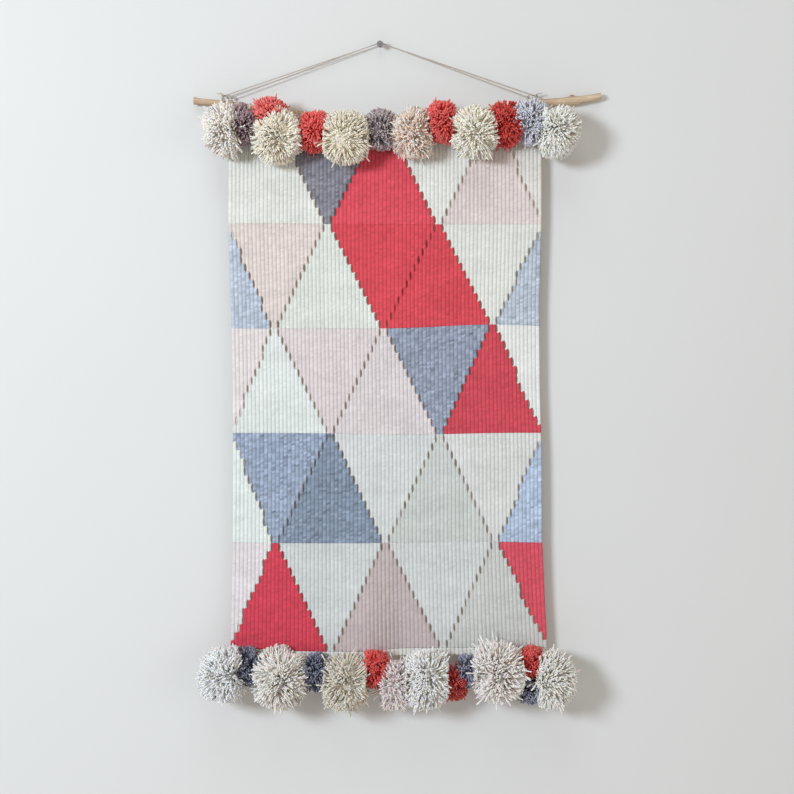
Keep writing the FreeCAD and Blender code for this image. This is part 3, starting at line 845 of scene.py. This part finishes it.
TWINE = 1.2 * MM
CORD_ROUTES = {
    "hanging_cord_a": (0.366, [(-174.0, -5.2, -56.7), (-9.0, -5.2, -0.7), (-2.0, -5.2, 1.9),
                               (0.0, -5.2, 2.7), (2.0, -5.2, 1.9), (9.0, -5.2, -0.7),
                               (173.0, -5.2, -56.7)]),
    "hanging_cord_b": (0.350, [(-164.5, -6.8, -58.4), (-9.0, -6.8, -1.0), (-2.0, -6.8, 1.9),
                               (0.0, -6.8, 2.7), (2.0, -6.8, 1.9), (9.0, -6.8, -1.0),
                               (163.5, -6.8, -58.4)]),
}


def hanging_cords():
    """Two taut strands of two-ply twine over the nail."""
    for node, (length, points) in CORD_ROUTES.items():
        line = route(node + "_route", points)
        obj = mesh_object("twine_" + node, *plied(line, TWINE / 2))
        finish_piece(obj, node, "cord")


def stick_knots():
    """The cord's turns round the stick, a knot and a short tail at each place."""
    parts = []
    turns, pitch = 3, 1.15 * MM
    around = 5.5 * MM
    angle = np.linspace(0, turns * 2 * math.pi, turns * 26)
    for place, across in enumerate((-174.0, -164.5, 163.5, 173.0)):
        middle, height = across * MM, -stick_drop(across) * MM
        way = 1 if across < 0 else -1
        x = middle + way * (angle / (2 * math.pi) - turns / 2) * pitch
        helix = np.stack([x, STICK_Y + around * np.sin(angle), height + around * np.cos(angle)], 1)
        parts.append(plied(helix, TWINE / 2))
        knot_at = np.array([middle, STICK_Y, height + KNOT_ABOVE * MM])
        loop = np.linspace(0, 4 * math.pi, 60)
        up = np.linspace(around, KNOT_ABOVE * MM, 8)[:, None] * (0, 0, 1)
        parts.append(plied(np.array([middle, STICK_Y, height]) + up, TWINE / 2))
        tangle = knot_at + np.stack([np.cos(loop) * (1.3 + 0.3 * np.sin(1.5 * loop)),
                                     np.sin(loop) * 1.2, 1.1 * np.sin(loop * 1.5 + 0.8)], 1) * MM
        parts.append(plied(tangle, TWINE / 2))
        tail = smooth_path([knot_at + np.array(p) * MM for p in (
            (0, 0, 1.2), (-2.5 * way, -1.0, 2.6), (-4.5 * way, -1.5, 1.6), (-6.0 * way, -1.2, 3.0))])
        parts.append(plied(tail, TWINE / 2))
    obj = mesh_object("cord_turns", *joined(parts))
    finish_piece(obj, "stick_knots", "cord")


def warp_loops():
    """Doubled warp ends from the header over the stick to the back of the weave."""
    rng = np.random.default_rng(SEED + 2)
    bend = 6.0 * MM
    parts = []
    for number in range(1, 37):
        x = WEAVE_LEFT + 2 * PITCH * (number + 0.5)
        height = -stick_drop(x / MM) * MM
        feet = [(-14.0 * MM, -79.5 * MM), (-11.3 * MM, -95.0 * MM)]
        angles = []
        for (y, z), side in zip(feet, (-1, 1)):
            away = (y - STICK_Y, z - height)
            angles.append(math.atan2(away[1], away[0]) + side * math.acos(bend / math.hypot(*away)))
        arc = np.linspace(angles[0] % (2 * math.pi), angles[1], 24)
        slip = rng.normal(0, 0.4, 3) * MM
        across = x + np.linspace(slip[0], slip[1], len(arc))
        ring = np.stack([across, STICK_Y + bend * np.cos(arc), height + bend * np.sin(arc)], 1)
        path = np.concatenate([[(x, *feet[0])], ring, [(x + slip[2], *feet[1])]])
        parts.append(plied(path, 0.6 * MM, lay=2.6 * MM, per_turn=6))
    obj = mesh_object("warp_ends", *joined(parts))
    finish_piece(obj, "warp_loops", "row_1")


def nail():
    """The CAD nail, given its steel."""
    for item in frame["nodes"]["wall_nail"].material_slots:
        item.material = MATERIALS["nail_steel"]


# ---------------------------------------------------------------- stage, light, camera
def plain_material(name, colour, roughness=0.9):
    """Matt paint with the faintest unevenness."""
    mat, nodes, links, shader = material(name, roughness, specular=0.2)
    cloud = noise(nodes, links, 3.0, detail=2)
    links.new(times(nodes, links, colour, ramp(nodes, links, cloud, [(0.3, 0.985), (0.7, 1.0)])),
              shader.inputs["Base Color"])
    return mat, nodes, links, shader


def backdrop():
    """A pale wall behind, lit and shadowed from the front and absent from behind, and a floor."""
    size, height = 3.0, 1.6
    floor_z = -height
    wall = mesh_object("wall", [(-size, 0, floor_z), (size, 0, floor_z), (size, 0, height),
                                (-size, 0, height)], [(0, 1, 2, 3)])
    mat, nodes, links, shader = plain_material("wall_paint", (0.68, 0.69, 0.69))
    clear = nodes.new("ShaderNodeBsdfTransparent")
    facing = nodes.new("ShaderNodeNewGeometry")
    mix = nodes.new("ShaderNodeMixShader")
    links.new(facing.outputs["Backfacing"], mix.inputs["Fac"])
    links.new(shader.outputs["BSDF"], mix.inputs[1])
    links.new(clear.outputs["BSDF"], mix.inputs[2])
    links.new(mix.outputs["Shader"], nodes["Material Output"].inputs["Surface"])
    wall.data.materials.append(mat)
    wall.visible_shadow = False
    wall.visible_diffuse = False
    wall.visible_glossy = False
    wall.visible_transmission = False
    floor = mesh_object("floor", [(-size, -size, floor_z), (size, -size, floor_z),
                                  (size, size, floor_z), (-size, size, floor_z)], [(0, 1, 2, 3)])
    floor.data.materials.append(plain_material("floor_paint", (0.84, 0.85, 0.85))[0])


def lamp(name, place, aim, size, power, colour):
    """A soft square light."""
    data = bpy.data.lights.new(name, "AREA")
    data.shape = "SQUARE"
    data.size = size
    data.energy = power
    data.color = colour
    obj = bpy.data.objects.new(name, data)
    obj.location = place
    obj.rotation_euler = (Vector(aim) - Vector(place)).to_track_quat("-Z", "Y").to_euler()
    bpy.context.scene.collection.objects.link(obj)


def lights():
    """Cool daylight from the left, a pale light from above, and a warm room round it."""
    aim = (0.0, 0.0, -0.38)
    lamp("window", (-1.55, -2.0, 0.1), aim, 0.6, 49, (0.84, 0.92, 1.0))
    lamp("above", (-0.1, -1.2, 1.5), aim, 1.2, 9, (0.86, 0.95, 1.0))
    lamp("room_side", (1.9, -1.6, -0.4), aim, 1.6, 9, (0.90, 0.95, 1.0))
    lamp("rear", (0.6, 2.2, 0.6), aim, 2.0, 6, (1.0, 1.0, 1.0))
    world = bpy.data.worlds.new("room")
    world.use_nodes = True
    back = world.node_tree.nodes["Background"]
    back.inputs["Color"].default_value = (1.0, 0.83, 0.66, 1)
    back.inputs["Strength"].default_value = 0.38
    bpy.context.scene.world = world


def camera():
    """Square on to the wall, a metre and a half away."""
    lens, sensor = 60.0, 36.0
    seen = 0.8734         # width of the view at the front of the weave
    data = bpy.data.cameras.new("camera")
    data.lens = lens
    data.sensor_width = sensor
    obj = bpy.data.objects.new("camera", data)
    obj.location = (0.0187, MID_Y - HALF_THICK - seen * lens / sensor, -0.390)
    obj.rotation_euler = (math.pi / 2, 0, 0)
    bpy.context.scene.collection.objects.link(obj)
    bpy.context.scene.camera = obj


camera()
hanging_cords()
stick_knots()
stick()
warp_loops()
nail()
weave()
warps()
pom_poms()
backdrop()
lights()
bpy.context.scene.view_settings.view_transform = "Standard"
